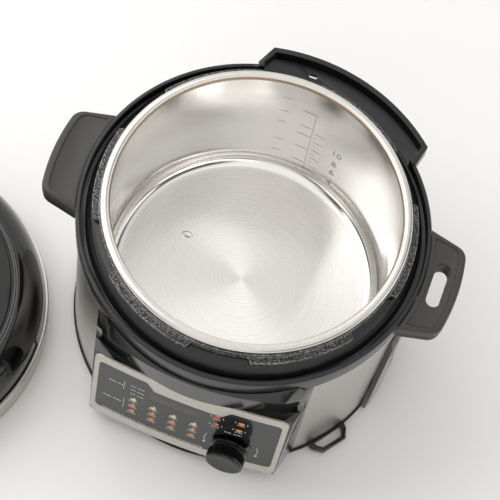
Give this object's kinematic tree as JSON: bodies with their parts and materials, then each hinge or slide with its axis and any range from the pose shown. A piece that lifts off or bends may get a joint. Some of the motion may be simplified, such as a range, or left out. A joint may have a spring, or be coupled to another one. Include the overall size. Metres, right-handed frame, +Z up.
{
  "type": "electric pressure cooker",
  "caption": "Countertop pressure cooker: steel body, black collar with two side handles, control panel with a turning dial, lift-out pot, and a twist-lock lid lying beside it.",
  "frame": {"origin": "centre of the foot ring of the cooker body, on the surface it stands on", "axes": "+Z up, -Y towards the person at the control panel, +X towards the slotted carrying handle; the lid lies at -X"},
  "size_m": [0.601, 0.4205, 0.209],
  "materials": {
    "foot_rubber": "matt",
    "base_plastic": "fine texture",
    "screw_steel": "zinc plated",
    "shell_steel": "brushed around",
    "collar_plastic": "satin",
    "grip_plastic": "fine texture",
    "gloss_black": "high gloss",
    "frame_silver": "satin silver",
    "film_grey": "printed film",
    "display_smoke": "smoked window",
    "plate_black": "printed black",
    "module_white": "moulded",
    "board_green": "solder mask",
    "board_tan": "paper laminate",
    "zinc_parts": "die cast",
    "knob_black": "satin",
    "cap_grey": "matt",
    "contact_brass": "plated",
    "chamber_steel": "drawn",
    "ring_speckled": "speckled powder coat",
    "felt_white": "felt",
    "plate_aluminium": "machined cast",
    "wire_red": "sleeved",
    "pot_steel": "brushed and polished",
    "seal_silicone": "translucent silicone",
    "seal_red": "silicone",
    "slider_red": "moulded"
  },
  "bodies": {
    "base": {"foot_ring": "foot_rubber", "base_pan": "base_plastic", "base_screws": "screw_steel", "outer_shell": "shell_steel", "top_collar": "collar_plastic", "left_grip": "grip_plastic", "left_grip_shell": "grip_plastic", "right_grip": "grip_plastic", "right_grip_shell": "grip_plastic", "grip_screws": "screw_steel", "front_housing": "gloss_black", "panel_frame": "frame_silver", "panel_film": "film_grey", "display_window": "display_smoke", "dial_plate": "plate_black", "display_module": "module_white", "control_board": "board_green", "encoder_body": "zinc_parts", "power_board": "board_tan", "board_posts": "base_plastic", "inlet_cover": "gloss_black", "power_inlet": "base_plastic", "inlet_pins": "contact_brass", "accessory_loop": "base_plastic", "heating_chamber": "chamber_steel", "locking_ring": "ring_speckled", "insulation_wrap": "felt_white", "heating_plate": "plate_aluminium", "heating_element": "zinc_parts", "heater_terminals": "contact_brass", "sensor_spring": "screw_steel", "thermal_fuse": "module_white", "pressure_switch": "base_plastic", "inner_wires": "wire_red"},
    "pot": {"inner_pot": "pot_steel"},
    "dial_push": {"encoder_plunger": "module_white"},
    "dial": {"encoder_shaft": "zinc_parts", "dial_knob": "knob_black", "dial_cap": "cap_grey"},
    "sensor": {"sensor_puck": "plate_aluminium"},
    "lid": {"lid_shell": "gloss_black", "lid_band": "shell_steel", "lid_plate": "pot_steel", "sealing_ring": "seal_silicone", "ring_rack": "screw_steel", "lid_handle": "grip_plastic", "handle_cap": "frame_silver", "valve_pipe": "zinc_parts", "steam_screen": "screw_steel", "slider_guide": "module_white", "lid_screws": "screw_steel"},
    "valve": {"steam_valve": "knob_black"},
    "float": {"float_pin": "zinc_parts", "float_gasket": "seal_red"},
    "slider": {"lock_slider": "slider_red"}
  },
  "joints": [
    {"name": "pot_lift", "type": "slide", "parent": "base", "child": "pot", "axis": [0, 0, 1], "range_m": [0, 0.18]},
    {"name": "dial_press", "type": "slide", "parent": "base", "child": "dial_push", "axis": [0, 0.9979, -0.0645], "range_m": [0, 0.001], "stiffness_N_per_m": 600, "springref_m": -0.002},
    {"name": "dial_turn", "type": "hinge", "parent": "dial_push", "child": "dial", "pos_m": [0.0425, -0.14392, 0.05792], "axis": [0, -0.9979, 0.0645], "continuous": true},
    {"name": "sensor_press", "type": "slide", "parent": "base", "child": "sensor", "axis": [0, 0, -1], "range_m": [0, 0.004], "stiffness_N_per_m": 400, "springref_m": -0.004, "deforming": ["sensor_spring"]},
    {"name": "lid_lift", "type": "slide", "parent": "base", "child": "lid", "axis": [-0.2598, -0.1099, 0.9594], "range_m": [0, 0.3]},
    {"name": "valve_turn", "type": "hinge", "parent": "lid", "child": "valve", "pos_m": [-0.25253, -0.19588, 0.065], "axis": [0, 0, 1], "range_deg": [0, 60]},
    {"name": "float_rise", "type": "slide", "parent": "lid", "child": "float", "axis": [0, 0, 1], "range_m": [0, 0.007]},
    {"name": "lock_slide", "type": "slide", "parent": "lid", "child": "slider", "axis": [-0.3746, 0.9272, 0], "range_m": [0, 0.004], "stiffness_N_per_m": 300, "springref_m": -0.003}
  ]
}
